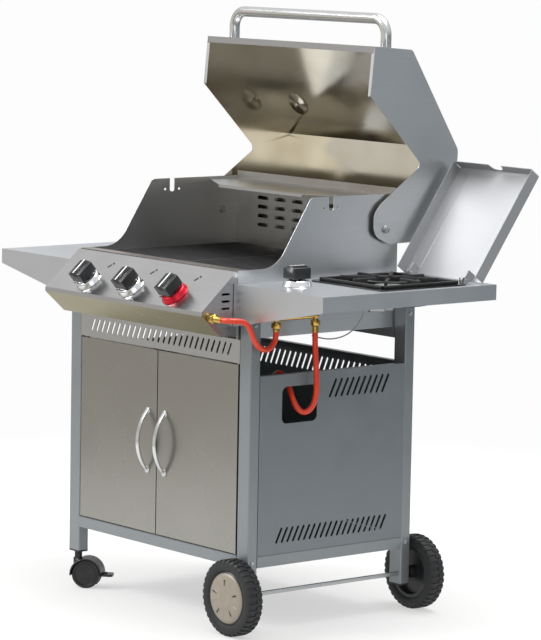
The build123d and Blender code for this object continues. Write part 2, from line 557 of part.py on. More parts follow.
def shelves():
    inner, drop_out, drop_in = BOX_HALF + 0.5, 35.0, 96.0
    top = block(inner, SHELF_OUT, SHELF_FRONT, SHELF_REAR, SHELF_Z - SHEET, SHELF_Z)
    side = block(SHELF_OUT - SHEET, SHELF_OUT, SHELF_FRONT, SHELF_REAR, SHELF_Z - drop_out, SHELF_Z)
    taper = [(inner, SHELF_Z), (SHELF_OUT, SHELF_Z), (SHELF_OUT, SHELF_Z - drop_out),
             (inner, SHELF_Z - drop_in)]
    apron = extrude(Plane.XZ * make_face(Polyline(*taper, close=True)), SHEET)
    rear = block(inner, SHELF_OUT, SHELF_REAR - SHEET, SHELF_REAR, SHELF_Z - drop_out, SHELF_Z)
    shelf = top + side + Pos(0, SHELF_FRONT + SHEET, 0) * apron + rear
    parts["shelf_left"] = mirror(shelf, about=Plane.YZ)
    shelf -= extrude(Pos(*HOB_CENTRE, SHELF_Z - 10) * RectangleRounded(232, 240, 12), 20)
    shelf -= rod((*SIDE_VALVE, SHELF_Z - 5), (*SIDE_VALVE, SHELF_Z + 5), 6)
    parts["shelf_right"] = shelf

    x0, x1, y0, y1 = HOB
    plate = extrude(Pos(*HOB_CENTRE, SHELF_Z) * RectangleRounded(x1 - x0, y1 - y0, 14), 3)
    bowl = Pos(*HOB_CENTRE, SHELF_Z - 22) * Cylinder(95, 44)
    bowl -= Pos(*HOB_CENTRE, SHELF_Z - 19) * Cylinder(93.2, 50)
    hob = plate - Pos(*HOB_CENTRE, SHELF_Z) * Cylinder(93.2, 20) + bowl
    hob -= Pos(*HOB_CENTRE, SHELF_Z - 40) * Cylinder(20, 30)
    parts["hob_plate"] = hob

    venturi = Pos(*HOB_CENTRE, SHELF_Z - 40) * Cylinder(12, 40)
    head = Pos(*HOB_CENTRE, SHELF_Z - 15) * Cylinder(38, 12)
    cap = Pos(*HOB_CENTRE, SHELF_Z - 6.5) * Cylinder(33, 5)
    port = Pos(38, 0, 0) * Box(6, 2, 4)
    head -= [Pos(*HOB_CENTRE, SHELF_Z - 12) * Rot(0, 0, i * 15) * port for i in range(24)]
    burner = venturi + head + cap
    burner += rod((HOB_CENTRE[0] - 8, HOB_CENTRE[1] - 6, SHELF_Z - 56), (440, 14, SHELF_Z - 56), 9)
    parts["side_burner"] = burner

    ring = Pos(*HOB_CENTRE, SHELF_Z + 9) * (Cylinder(70, 5) - Cylinder(64, 10))
    frame_w, frame_d = 218.0, 226.0
    outer = RectangleRounded(frame_w, frame_d, 16) - RectangleRounded(frame_w - 14, frame_d - 14, 10)
    support = extrude(Pos(*HOB_CENTRE, SHELF_Z + 3.3) * outer, 7) + ring
    for index in range(8):
        arm = Pos(72, 0, 0) * Box(66 if index % 2 == 0 else 78, 7, 10)
        support += Pos(*HOB_CENTRE, SHELF_Z + 11) * Rot(0, 0, index * 45) * arm
    support = support & (Pos(*HOB_CENTRE, SHELF_Z + 10) * Box(frame_w, frame_d, 40))
    parts["pan_support"] = support


def side_lid():
    """The lid is drawn at its pivot, X across, Y up along the lid, Z out of its back, and then placed."""
    tilt = math.radians(LID_TILT)
    frame = Plane(origin=(0, *LID_PIVOT), x_dir=(-1, 0, 0), z_dir=(0, math.sin(tilt), -math.cos(tilt)))
    x0, x1 = LID_X
    low, high = 9.0, LID_LENGTH
    ear_x = (x0 + 40, x1 - 40)
    pan = block(-x1, -x0, low, high, LID_RISE - LID_LIP, LID_RISE)
    pan = fillet(pan.edges().filter_by(Axis.Z).sort_by(Axis.Y)[-2:], 6)
    pan -= block(-x1 + SHEET, -x0 - SHEET, low - 5, high - SHEET, LID_RISE - LID_LIP - 1, LID_RISE - SHEET)
    notch = (-(x0 + x1) / 2 - 6, LID_RISE - LID_LIP)
    pan -= rod((notch[0], high - 10, notch[1]), (notch[0], high + 10, notch[1]), 21)
    bead = block(-x0 - 46, -x0 - 40, 24, high - 20, LID_RISE - SHEET - 1.2, LID_RISE - SHEET)
    pan += bead
    arm = [(26, LID_RISE - SHEET), (8, LID_RISE - SHEET), (-2, 6.6), (0, 0), (2, -2), (26, -2)]
    for x in ear_x:
        pan += side_plate(arm, -x - 3, -x + 3) + rod((-x - 3, 0, 0), (-x + 3, 0, 0), 7)
        pan -= rod((-x - 5, 0, 0), (-x + 5, 0, 0), 3 + RUNNING)
    parts["side_lid"] = frame * pan

    pins = []
    lid_y, lid_z = LID_PIVOT
    for x in ear_x:
        pin = rod((x - 9, lid_y, lid_z), (x + 9, lid_y, lid_z), 3)
        for cheek in (x - 7.5, x + 4.5):
            pin += block(cheek, cheek + 3, lid_y - 6, lid_y + 6, SHELF_Z, lid_z + 5)
        pins.append(pin)
    for side in (-1, 1):
        def along(inner, outer, radius):
            return rod((side * inner, PIVOT_Y, PIVOT_Z), (side * outer, PIVOT_Y, PIVOT_Z), radius)

        bolt = along(BOX_HALF - SHEET - 1.4, HOOD_HALF + 5, 5 - RUNNING)
        bolt += along(HOOD_HALF + 0.4, HOOD_HALF + 4, 9)
        bolt += along(BOX_HALF - SHEET - 1.4, BOX_HALF - SHEET - 0.1, 9)
        bolt += along(BOX_HALF, HOOD_HALF - SHEET - 0.4, 8)
        pins.append(bolt)
    parts["pivot_pins"] = pins


# ---- hood -----------------------------------------------------------------------------------
# The hood's outline when it stands open, as (y, z) points round the side plate.
HOOD_A, HOOD_B, HOOD_C, HOOD_D, HOOD_E = (131, 1316), (246, 1307), (395, 1073), (387, 868), (288, 862)
HOOD_EDGE = [(185, 861), (139, 882), (139, 930), (157, 953), (204, 986), (283, 1040), (121, 1202)]
THERMO_X, THERMO_ALONG = -215.0, 182.0
HANDLE_Y, HANDLE_Z, HANDLE_HALF, HANDLE_R = 190.0, 1377.0, 278.0, 12.5


def hood():
    points = [HOOD_A, HOOD_B, HOOD_C, HOOD_D, HOOD_E] + HOOD_EDGE
    outline = rounded(points, {1: 12, 2: 20, 3: 12, 6: 30, 7: 20, 9: 18, 10: 14})
    plate = extrude(Pos(HOOD_HALF - SHEET, 0, 0) * outline, SHEET, dir=(1, 0, 0))
    flange_x = BOX_HALF + 0.8
    front = HOOD_EDGE[-1]
    flange = [HOOD_A, front, (front[0] + SHEET, front[1]), (HOOD_A[0] + SHEET, HOOD_A[1] - 16),
              (HOOD_A[0], HOOD_A[1] - 16)]
    plate += side_plate(flange, flange_x, HOOD_HALF - SHEET)
    plate -= block(flange_x - 1, HOOD_HALF - SHEET, 100, 200, HOOD_A[1] - 16, HOOD_A[1] + 4)
    plate -= rod((300, PIVOT_Y, PIVOT_Z), (312, PIVOT_Y, PIVOT_Z), 5)
    parts["hood_sides"] = frame_pair(plate)

    inner = HOOD_HALF - SHEET - 0.02
    lip = (HOOD_A[0], HOOD_A[1] - 15)
    shell = bent_sheet([lip, HOOD_A, HOOD_B, HOOD_C, HOOD_D, HOOD_E][::-1], -inner, inner)
    shell -= rod(thermo_point(-10), thermo_point(10), 5)
    parts["hood_shell"] = shell

    bend = 38.0
    foot = HOOD_A[1] - 4.6
    path = FilletPolyline((-HANDLE_HALF, HANDLE_Y, foot), (-HANDLE_HALF, HANDLE_Y, HANDLE_Z),
                          (HANDLE_HALF, HANDLE_Y, HANDLE_Z), (HANDLE_HALF, HANDLE_Y, foot), radius=bend)
    bar = sweep(Plane(origin=path @ 0, z_dir=path % 0) * Circle(HANDLE_R), path=path)
    bar -= block(-400, 400, HANDLE_Y - 60, HANDLE_Y + 60, 1200, 1311.5)
    inside = [HOOD_A, HOOD_B, (HOOD_B[0], HOOD_B[1] - 40), (HOOD_A[0], HOOD_A[1] - 40)]
    bar -= side_plate(inside, -inner, inner)
    parts["hood_handle"] = bar

    case = rod(thermo_point(0), thermo_point(9), 31, 28)
    case += rod(thermo_point(0), thermo_point(2), 30)
    case += rod(thermo_point(-14), thermo_point(1), 4.8)
    case += rod(thermo_point(-SHEET), thermo_point(-5), 30)
    case -= rod(thermo_point(-2), thermo_point(20), 2 + RUNNING)
    case -= rod(thermo_point(-SHEET), thermo_point(0), 31) - rod(thermo_point(-SHEET), thermo_point(0), 4.8)
    parts["thermometer"] = case
    out = Vector(*thermo_point(1)) - Vector(*thermo_point(0))
    plane = Plane(origin=thermo_point(0), x_dir=(1, 0, 0), z_dir=out)
    needle = Pos(0, 0, 1.5) * Cylinder(2, 6) + Pos(0, 0, 4) * Cylinder(3.5, 2)
    needle += Pos(0, 8, 4.2) * Box(2, 26, 1)
    parts["thermometer_needle"] = plane * needle


def thermo_point(out):
    """A point on the thermometer's axis, a distance out of the hood's long panel."""
    dy, dz = HOOD_C[0] - HOOD_B[0], HOOD_C[1] - HOOD_B[1]
    length = math.hypot(dy, dz)
    uy, uz = dy / length, dz / length
    return (THERMO_X, HOOD_B[0] + uy * THERMO_ALONG - uz * out, HOOD_B[1] + uz * THERMO_ALONG + uy * out)


def screws():
    group = [screw((side * HALF_W, y, z), (side, 0, 0)) for side, y, z in SCREW_SPOTS]
    parts["screws"] = group


def build():
    trolley()
    doors()
    wheels()
    caster("front")
    caster("rear")
    firebox()
    fascia()
    gas_train()
    hoses()
    shelves()
    side_lid()
    hood()
    screws()


def solids_of(shape):
    if isinstance(shape, list):
        return [solid for item in shape for solid in solids_of(item)]
    return list(shape.solids())


build()
os.makedirs("parts", exist_ok=True)
for node, shape in parts.items():
    placed = [Pos(0, CENTRE_Y, 0) * solid for solid in solids_of(shape)]
    export_step(placed[0] if len(placed) == 1 else Compound(children=placed), f"parts/{node}.step")
print(len(parts), "nodes written")
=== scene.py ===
# %% [markdown]
# # A gas barbecue on a trolley
# Three burners sit in a folded steel box under a lifting hood, and a fourth sits in the right shelf
# under its own lid. The joints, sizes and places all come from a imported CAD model, which this lesson
# loads as a frame. Each step then either gives a CAD part a better finish, or models a finer piece
# that stands for it and rides on the same body, so that everything still opens, turns and rolls.

# %% Load the frame
import json
import math

import bmesh
import bpy
from mathutils import Matrix, Vector


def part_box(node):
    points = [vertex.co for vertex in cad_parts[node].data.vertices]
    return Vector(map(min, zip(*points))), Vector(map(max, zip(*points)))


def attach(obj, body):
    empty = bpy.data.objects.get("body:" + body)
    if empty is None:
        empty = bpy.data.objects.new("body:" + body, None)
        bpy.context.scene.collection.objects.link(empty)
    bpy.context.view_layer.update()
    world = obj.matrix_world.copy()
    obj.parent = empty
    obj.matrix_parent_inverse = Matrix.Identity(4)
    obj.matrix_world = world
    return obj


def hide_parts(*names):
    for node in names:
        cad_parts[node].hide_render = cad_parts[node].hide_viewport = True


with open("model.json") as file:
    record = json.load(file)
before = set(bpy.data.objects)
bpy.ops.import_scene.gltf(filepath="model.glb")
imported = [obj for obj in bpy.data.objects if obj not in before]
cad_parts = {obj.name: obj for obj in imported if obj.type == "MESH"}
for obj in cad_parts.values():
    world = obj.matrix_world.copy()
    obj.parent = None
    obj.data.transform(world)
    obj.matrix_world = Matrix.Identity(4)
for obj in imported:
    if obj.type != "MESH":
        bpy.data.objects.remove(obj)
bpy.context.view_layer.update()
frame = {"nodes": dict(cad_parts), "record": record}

# %% [markdown]
# ## Places
# The CAD was drawn in millimetres round the middle of the cabinet, and then moved 12 mm towards the
# user so that the whole grill is centred. One function turns those drawing numbers into metres in
# the shared frame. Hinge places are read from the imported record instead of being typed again.

# %% Drawing millimetres to metres, and hinge lines from the record
CABINET_SHIFT = -12


def at(x, y, z):
    return Vector((x, y + CABINET_SHIFT, z)) / 1000


def hinge_line(joint):
    row = next(j for j in frame["record"]["behaviour"]["joints"] if j["name"] == joint)
    return Vector(row["pos_m"]), Vector(row["axis"]).normalized()


def middle(node):
    low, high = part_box(node)
    return (low + high) / 2


print("hood pivot at", tuple(round(v, 3) for v in hinge_line("hood_hinge")[0]))

# %% [markdown]
# ## Camera
# A product picture of something this size is taken with a long lens from about eight metres, so that
# upright edges stay nearly parallel. The camera stands in front and to the right, a little above the
# hood, and looks slightly down. It is placed by a matrix built from its viewing direction, which is
# exact, where aiming it with a constraint would leave the small roll out.

# %% The camera
CAMERA_PLACE = at(6085.32, -4919.15, 1613.87)
CAMERA_AIM = Vector((-0.766448, 0.630922, -0.120396))
CAMERA_ROLL = math.radians(1.037)
LENS = 188.74

camera = bpy.data.objects.new("camera", bpy.data.cameras.new("camera"))
bpy.context.scene.collection.objects.link(camera)
level = CAMERA_AIM.cross(Vector((0, 0, 1))).normalized()
upright = level.cross(CAMERA_AIM).normalized()
across = level * math.cos(CAMERA_ROLL) + upright * math.sin(CAMERA_ROLL)
above = upright * math.cos(CAMERA_ROLL) - level * math.sin(CAMERA_ROLL)
camera.matrix_world = Matrix.Translation(CAMERA_PLACE) @ Matrix(
    (across, above, -CAMERA_AIM)).transposed().to_4x4()
camera.data.lens = LENS
camera.data.clip_end = 60
bpy.context.scene.camera = camera
print("camera is", round((CAMERA_PLACE - Vector((0, 0, 0.5))).length, 2), "m away")

# %% [markdown]
# ## Colour and nodes
# Colours are written as the hex codes that a paint chart or a screen shows, which are sRGB. Shaders
# work in linear light, so a single function converts them. A second small function adds one node
# with its settings and links: every material below is written with these two.

# %% Two helpers for materials
def colour(code):
    parts = [int(code[i:i + 2], 16) / 255 for i in (1, 3, 5)]
    return [c / 12.92 if c <= 0.04045 else ((c + 0.055) / 1.055) ** 2.4 for c in parts] + [1.0]


def add(material, kind, links=(), **settings):
    node = material.node_tree.nodes.new("ShaderNode" + kind)
    for key, value in settings.items():
        if hasattr(node, key):
            setattr(node, key, value)
        else:
            node.inputs[key.replace("_", " ")].default_value = value
    for socket, source in links:
        material.node_tree.links.new(source, node.inputs[socket])
    return node


def blank(name):
    material = bpy.data.materials.new(name)
    material.use_nodes = True
    material.node_tree.nodes.clear()
    return material


print("steel grey in linear light:", [round(c, 3) for c in colour("#c4c6c8")[:3]])

# %% [markdown]
# ## Finishes with a grain
# Stainless sheet is brushed: a belt leaves fine scratches in one direction, which smear reflections
# across the scratches. Image scratches would need texture coordinates on every folded sheet, so a
# noise in object space is stretched instead, thin across the grain and a quarter of a metre long.
# Real scratches are under 0.1 mm. They are drawn about 2 mm wide here so that they still show.
# A second, slow noise changes the gloss a little, as wiping and handling do.

# %% A brushed sheet metal
def brushed(name, base, grain, roughness=0.3, shade=0.08, relief=0.06, tint=None):
    material = blank(name)
    place = add(material, "TexCoord")
    fine, long = 430.0, 4.0
    stretch = [long if axis in grain else fine for axis in "XYZ"]
    lines_map = add(material, "Mapping", [("Vector", place.outputs["Object"])], Scale=stretch)
    lines = add(material, "TexNoise", [("Vector", lines_map.outputs[0])],
                Scale=1.0, Detail=4.0, Roughness=0.65)
    smudge = add(material, "TexNoise", [("Vector", place.outputs["Object"])], Scale=7.0, Detail=3.0)
    dark, light = ([c * f for c in colour(base)[:3]] + [1.0] for f in (1 - shade, 1 + shade))
    tone = add(material, "Mix", [("Factor", lines.outputs["Fac"])], data_type="RGBA")
    tone.inputs[6].default_value, tone.inputs[7].default_value = dark, light
    shown = tone.outputs[2]
    if tint:
        stain = add(material, "Mix", [("Factor", smudge.outputs["Fac"])], data_type="RGBA")
        stain.inputs[7].default_value = colour(tint)
        material.node_tree.links.new(shown, stain.inputs[6])
        shown = stain.outputs[2]
    gloss = add(material, "MapRange", [("Value", smudge.outputs["Fac"])])
    gloss.inputs["From Min"].default_value, gloss.inputs["From Max"].default_value = 0.3, 0.7
    gloss.inputs["To Min"].default_value = roughness - 0.03
    gloss.inputs["To Max"].default_value = roughness + 0.04
    bump = add(material, "Bump", [("Height", lines.outputs["Fac"])], Strength=relief, Distance=0.0004)
    steel = add(material, "BsdfPrincipled",
                [("Base Color", shown), ("Roughness", gloss.outputs[0]), ("Normal", bump.outputs[0])],
                Metallic=1.0)
    add(material, "OutputMaterial", [("Surface", steel.outputs[0])])
    return material


steel_across = brushed("stainless_brushed_across", "#aeaeaf", "X", roughness=0.24)
steel_deep = brushed("stainless_brushed_front_to_back", "#cfd1d3", "Y", roughness=0.34)
steel_shelf = brushed("stainless_shelf_satin", "#c3c6ca", "Y", roughness=0.38, shade=0.05)
steel_upright = brushed("stainless_brushed_upright", "#96948f", "Z", roughness=0.26, shade=0.06)
# A darker olive-tan steel for the control panel's underside: painted shade and painted reflection.
steel_underside_painted_shade = brushed("stainless_underside_painted_shade_and_reflection", "#7d7656", "X", roughness=0.3)
steel_hood = brushed("stainless_hood_inside", "#dcd8cd", "X", roughness=0.13, shade=0.04,
                     tint="#c3bba9")
steel_hot = brushed("stainless_straw_tinted", "#b4b2ae", "X", roughness=0.33, tint="#857d72")
steel_tube = brushed("stainless_tube_satin", "#cfd0d0", "X", roughness=0.2, shade=0.05)
steel_lid = brushed("stainless_lid_satin", "#b2b3b5", "XY", roughness=0.6, shade=0.04)
print("brushed finishes:", [m.name for m in bpy.data.materials])

# %% [markdown]
# ## Finishes with a grit
# Everything else has a texture with no direction: powder coat has orange peel, cast iron keeps the
# sand of its mould, moulded plastic has a spark-eroded haze, and rubber is dull with dust in it. One
# recipe covers them: a noise at the real grit size moves colour, gloss and height a little.

# %% A surface with grit
def gritty(name, base, grit_mm, roughness, metallic=0.0, shade=0.12, relief=0.15, depth=0.0002, **more):
    material = blank(name)
    place = add(material, "TexCoord")
    grit = add(material, "TexNoise", [("Vector", place.outputs["Object"])],
               Scale=1000.0 / (grit_mm * 2), Detail=3.0, Roughness=0.6)
    worn = add(material, "TexNoise", [("Vector", place.outputs["Object"])], Scale=22.0, Detail=4.0)
    both = add(material, "Math", [(0, grit.outputs["Fac"]), (1, worn.outputs["Fac"])],
               operation="MULTIPLY")
    dark, light = ([c * f for c in colour(base)[:3]] + [1.0] for f in (1 - shade, 1 + 2 * shade))
    tone = add(material, "Mix", [("Factor", both.outputs[0])], data_type="RGBA")
    tone.inputs[6].default_value, tone.inputs[7].default_value = dark, light
    gloss = add(material, "MapRange", [("Value", worn.outputs["Fac"])])
    gloss.inputs["From Min"].default_value, gloss.inputs["From Max"].default_value = 0.3, 0.7
    gloss.inputs["To Min"].default_value = max(roughness - 0.05, 0.02)
    gloss.inputs["To Max"].default_value = roughness + 0.07
    bump = add(material, "Bump", [("Height", grit.outputs["Fac"])], Strength=relief, Distance=depth)
    skin = add(material, "BsdfPrincipled",
               [("Base Color", tone.outputs[2]), ("Roughness", gloss.outputs[0]),
                ("Normal", bump.outputs[0])],
               Metallic=metallic, **more)
    add(material, "OutputMaterial", [("Surface", skin.outputs[0])])
    return material


silver_paint = gritty("steel_silver_powder_coat", "#888d90", 0.8, 0.36, metallic=0.6, shade=0.05,
                      relief=0.05)
panel_paint = gritty("steel_silver_panel_coat", "#7b8184", 0.9, 0.4, metallic=0.55, shade=0.05,
                     relief=0.05)
cast_iron = gritty("cast_iron_matt_enamel", "#1c1c1d", 1.2, 0.5, relief=0.5, depth=0.0006, IOR=1.5)
black_enamel = gritty("steel_black_vitreous_enamel", "#141415", 0.9, 0.2, relief=0.08, IOR=1.52)
black_abs = gritty("abs_black_moulded", "#191a1c", 0.5, 0.34, relief=0.12, depth=0.0001, IOR=1.53)
caster_nylon = gritty("nylon_black_gloss", "#08080a", 0.6, 0.38, relief=0.06, IOR=1.53)
tyre_rubber = gritty("rubber_black_dusty", "#1a1b1d", 0.7, 0.62, shade=0.2, relief=0.3, depth=0.0003,
                     IOR=1.52)
hub_plastic = gritty("polypropylene_silver_moulded", "#978e81", 0.9, 0.42, metallic=0.2, relief=0.1,
                     IOR=1.49)
plug_plastic = gritty("polyethylene_black_plug", "#202124", 0.6, 0.45, relief=0.1, IOR=1.51)
zinc = gritty("steel_zinc_plated", "#b4b7b8", 1.1, 0.28, metallic=1.0, shade=0.08, relief=0.08)
chrome = gritty("brass_chrome_plated", "#dcdedf", 1.6, 0.07, metallic=1.0, shade=0.02, relief=0.02)
brass = gritty("brass_turned", "#c9a557", 0.8, 0.24, metallic=1.0, shade=0.1, relief=0.08)
cast_aluminium = gritty("aluminium_die_cast", "#a8aaab", 1.0, 0.42, metallic=1.0, shade=0.1, relief=0.3)
hose_rubber = gritty("rubber_orange_hose", "#d5381c", 0.9, 0.3, shade=0.1, relief=0.12, IOR=1.52)
lead_sleeve = gritty("silicone_grey_lead", "#8a8b88", 0.6, 0.4, relief=0.1, IOR=1.43)
ring_red = gritty("aluminium_red_anodised", "#c3102a", 0.8, 0.26, metallic=0.55, shade=0.06,
                  relief=0.06)
# Dark ink for the panel marks and dial strokes; on the wheel caps it also fills the slot floors as
# painted shade.
ink_and_slot_shade = gritty("ink_dark_print_and_painted_slot_shade", "#1b1b1f", 0.5, 0.5, relief=0.05, IOR=1.5)
# A light silver for the strip on each knob's flat: a painted highlight.
knob_painted_highlight = gritty("knob_ridge_painted_highlight", "#e2e4e6", 0.5, 0.3, metallic=0.1, shade=0.03,
                     relief=0.03)
dial_white = gritty("paint_dial_white", "#eeeee8", 0.7, 0.5, shade=0.02, relief=0.03, IOR=1.5)
needle_red = gritty("paint_needle_red", "#b3201c", 0.5, 0.35, shade=0.04, relief=0.03, IOR=1.5)
print("finishes in all:", len(bpy.data.materials))

# %% [markdown]
# ## The gas hoses
# A gas hose is rubber with a bore for the gas, about 13 mm across, so it holds a bend but sags. The
# first hose loops under the shelf from the control panel's pipe to the side burner's pipe. The second
# drops from that pipe, turns up in a U, goes in through the window of the side panel and runs down to
# the regulator on the cabinet floor. A curve with a round bevel keeps the same thickness all along,
# where a swept mesh would pinch in the U. The route's points are the spline's control points, so the
# hose passes a little inside each of them in one smooth line.

# %% Routes and the hose maker
HOSE_A = [(332, -327, 719), (350, -327, 719), (364, -318, 719), (369, -300, 718), (369, -282, 712),
          (368, -270, 697), (366, -260, 678), (363, -246, 660), (359, -226, 648), (357, -204, 648),
          (356, -189, 664), (356, -186, 680), (356, -186, 692)]
HOSE_B = [(356, -72, 692), (356, -72, 664), (357, -71, 634), (358, -69, 600), (360, -68, 566),
          (359, -68, 534), (357, -74, 511), (351, -87, 496), (341, -99, 497), (330, -106, 513),
          (318, -107, 534), (303, -104, 556), (283, -102, 574), (258, -98, 578), (234, -92, 562),
          (217, -84, 534), (208, -76, 496), (203, -66, 452), (198, -54, 404), (192, -40, 354),
          (182, -24, 304), (166, -6, 260), (146, 10, 226), (121, 22, 203), (94, 30, 189),
          (66, 34, 186), (44, 36, 186)]
LEAD = [(421, 20, 742), (414, 22, 722), (398, 24, 700), (380, 24, 682), (362, 20, 668),
        (345, 12, 659), (327, 0, 654), (308, -14, 655), (290, -26, 660)]


def laid(name, route, radius, material):
    line = bpy.data.curves.new(name, "CURVE")
    line.dimensions = "3D"
    line.resolution_u = 10
    line.bevel_depth = radius
    line.bevel_resolution = 6
    line.use_fill_caps = True
    spline = line.splines.new("NURBS")
    spline.points.add(len(route) - 1)
    for point, spot in zip(spline.points, route):
        point.co = (*at(*spot), 1)
    spline.order_u = 3
    spline.use_endpoint_u = True
    line.materials.append(material)
    piece = bpy.data.objects.new(name, line)
    bpy.context.scene.collection.objects.link(piece)
    return piece


HOSE_RADIUS, LEAD_RADIUS = 0.0065, 0.0015

hose_front = laid("hose_front", HOSE_A, HOSE_RADIUS, hose_rubber)
hose_long = laid("hose_long", HOSE_B, HOSE_RADIUS, hose_rubber)
spark_lead = laid("spark_lead", LEAD, LEAD_RADIUS, lead_sleeve)
for piece, node, slot in ((hose_front, "hose_a", "gas_hose"), (hose_long, "hose_b", "gas_hose"),
                          (spark_lead, "igniter_lead", "lead_sleeve")):
    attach(piece, "cart")
    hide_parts(node)
print("three lines laid")

# %% [markdown]
# ## Shaping helpers
# New pieces start as an outline that is spun round an axis, or as a box that is stretched and
# bevelled, because turned and cast parts are made that way. When a shape is done, one function
# closes seams, turns faces outward, smooths everything but true corners, and hands it to a body.

# %% Spin, bar and finish
def spun(outline, steps=64):
    shape = bmesh.new()
    verts = [shape.verts.new((r / 1000, 0, h / 1000)) for r, h in outline]
    edges = [shape.edges.new(pair) for pair in zip(verts, verts[1:])]
    bmesh.ops.spin(shape, geom=verts + edges, cent=(0, 0, 0), axis=(0, 0, 1), angle=math.tau,
                   steps=steps, use_merge=True)
    bmesh.ops.remove_doubles(shape, verts=shape.verts, dist=1e-6)
    return shape


def bar(shape, low, high, edge=0.0, segments=2):
    """A box between two corners in metres, its edges rounded by edge."""
    low, high = Vector(low), Vector(high)
    size, centre = high - low, (low + high) / 2
    matrix = Matrix.Translation(centre) @ Matrix.Diagonal((*size, 1))
    verts = bmesh.ops.create_cube(shape, size=1, matrix=matrix)["verts"]
    if edge:
        edges = list({e for v in verts for e in v.link_edges})
        bmesh.ops.bevel(shape, geom=edges, offset=edge, segments=segments, profile=0.5,
                        affect="EDGES", material=-1)


def joined(shape, other):
    """Adds another bmesh to shape, and frees it."""
    loose = bpy.data.meshes.new("loose")
    other.to_mesh(loose)
    shape.from_mesh(loose)
    other.free()
    bpy.data.meshes.remove(loose)


def finish_piece(shape, name, body, material, nodes=(), slot=None, matrix=None, corner=38, merge=True):
    if matrix is not None:
        bmesh.ops.transform(shape, matrix=matrix, verts=shape.verts)
    if merge:
        bmesh.ops.remove_doubles(shape, verts=shape.verts, dist=1e-6)
    bmesh.ops.recalc_face_normals(shape, faces=shape.faces)
    mesh = bpy.data.meshes.new(name)
    for face in shape.faces:
        face.smooth = True
    shape.to_mesh(mesh)
    shape.free()
    mesh.set_sharp_from_angle(angle=math.radians(corner))
    for one in material if isinstance(material, (list, tuple)) else [material]:
        mesh.materials.append(one)
    piece = bpy.data.objects.new(name, mesh)
    bpy.context.scene.collection.objects.link(piece)
    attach(piece, body)
    if nodes:
        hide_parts(*nodes)
    print(name, len(mesh.polygons), "faces")
    return piece


# %% [markdown]
# ## Softened sheet and tube
# Folded sheets and bent tubes already have the right shape in the CAD, but its mesh is loose
# triangles with flat shading, so bends and tubes would show facets. A merged copy, split into its
# separate solids where they have different finishes, shades smoothly and keeps its true corners.

# %% Merged copies of CAD parts
def islands(shape):
    left = set(shape.verts)
    while left:
        seed = left.pop()
        group, queue = {seed}, [seed]
        while queue:
            for edge in queue.pop().link_edges:
                for vert in edge.verts:
                    if vert in left:
                        left.discard(vert)
                        group.add(vert)
                        queue.append(vert)
        yield group


def copied(node, keep=None):
    shape = bmesh.new()
    shape.from_mesh(frame["nodes"][node].data)
    bmesh.ops.remove_doubles(shape, verts=shape.verts, dist=2e-6)
    if keep:
        gone = []
        for group in islands(shape):
            low = Vector([min(v.co[i] for v in group) for i in range(3)])
            high = Vector([max(v.co[i] for v in group) for i in range(3)])
            if not keep(low, high):
                gone += group
        bmesh.ops.delete(shape, geom=gone, context="VERTS")
    return shape


def level_shading(piece):
    """Large flat faces keep their own normal, and only the narrow bends between them blend."""
    weigh = piece.modifiers.new("level_shading", "WEIGHTED_NORMAL")
    weigh.keep_sharp = True
    weigh.weight = 90
    return piece


def smooth_copy(name, node, body, material, slot, keep=None, corner=30):
    return level_shading(finish_piece(copied(node, keep), name, body, material, [node], slot,
                                      corner=corner, merge=False))


# %% The trolley's folded steel
for node, coat, slot in (("legs", silver_paint, "frame_steel"),
                         ("frame_rails", silver_paint, "frame_steel"),
                         ("base_shelf", panel_paint, "frame_steel"),
                         ("front_top_rail", steel_across, "stainless"),
                         ("side_panel_left", panel_paint, "frame_steel"),
                         ("side_panel_right", panel_paint, "frame_steel"),
                         ("rear_panel", panel_paint, "frame_steel")):
    smooth_copy(node + "_sheet", node, "cart", coat, slot)

# %% The cooking box, shelves and hood
for node, body, sheet in (("firebox_sides", "cart", steel_deep), ("firebox_back", "cart", steel_hot),
                          ("firebox_front", "cart", steel_hot), ("firebox_brackets", "cart", steel_hot),
                          ("warming_ledge", "cart", steel_across), ("heat_tents", "cart", steel_hot),
                          ("burner_tubes", "cart", steel_deep), ("drip_tray", "drip_tray", steel_across),
                          ("shelf_left", "cart", steel_shelf), ("shelf_right", "cart", steel_shelf),
                          ("side_lid", "side_lid", steel_lid), ("hood_handle", "hood", steel_tube)):
    smooth_copy(node + "_sheet", node, body, sheet, "stainless")

# %% Plated and plastic parts that keep their CAD shape
for node, body, coat, slot in (("leg_plugs", "cart", plug_plastic, "black_plastic"),
                               ("axle", "cart", zinc, "plated_steel"),
                               ("pivot_pins", "cart", zinc, "plated_steel"),
                               ("door_fittings", "cart", zinc, "plated_steel"),
                               ("screws", "cart", zinc, "plated_steel"),
                               ("gas_manifold", "cart", brass, "brass"),
                               ("side_gas_train", "cart", brass, "brass"),
                               ("side_burner", "cart", cast_aluminium, "aluminium")):
    smooth_copy(node + "_part", node, body, coat, slot)
for name in ("front", "rear"):
    smooth_copy(f"caster_{name}_fork", f"caster_{name}", f"caster_{name}", caster_nylon,
                "black_plastic")
    smooth_copy(f"brake_{name}_lever", f"brake_lever_{name}", f"brake_{name}", black_abs,
                "black_plastic")

# %% [markdown]
# ## Sheets with two faces
# The hood is one sheet folded over five bends. Its outside stays bright, but the inside turns straw
# coloured from heat. The control panel is folded the same way, and its underside gets a darker,
# olive-tan steel: painted shade and a painted reflection of the green and brown ground below it. The
# two sides of a folded sheet are one closed mesh, so each face is asked which way it looks, and that
# decides its finish.

# %% Hood skin and control panel
def two_faced(name, node, body, fronts, backs, is_back, slot="stainless"):
    sheet = copied(node)
    for face in sheet.faces:
        face.material_index = 1 if is_back(face.calc_center_median(), face.normal) else 0
    return level_shading(finish_piece(sheet, name, body, [fronts, backs], [node], slot,
                                      corner=30, merge=False))


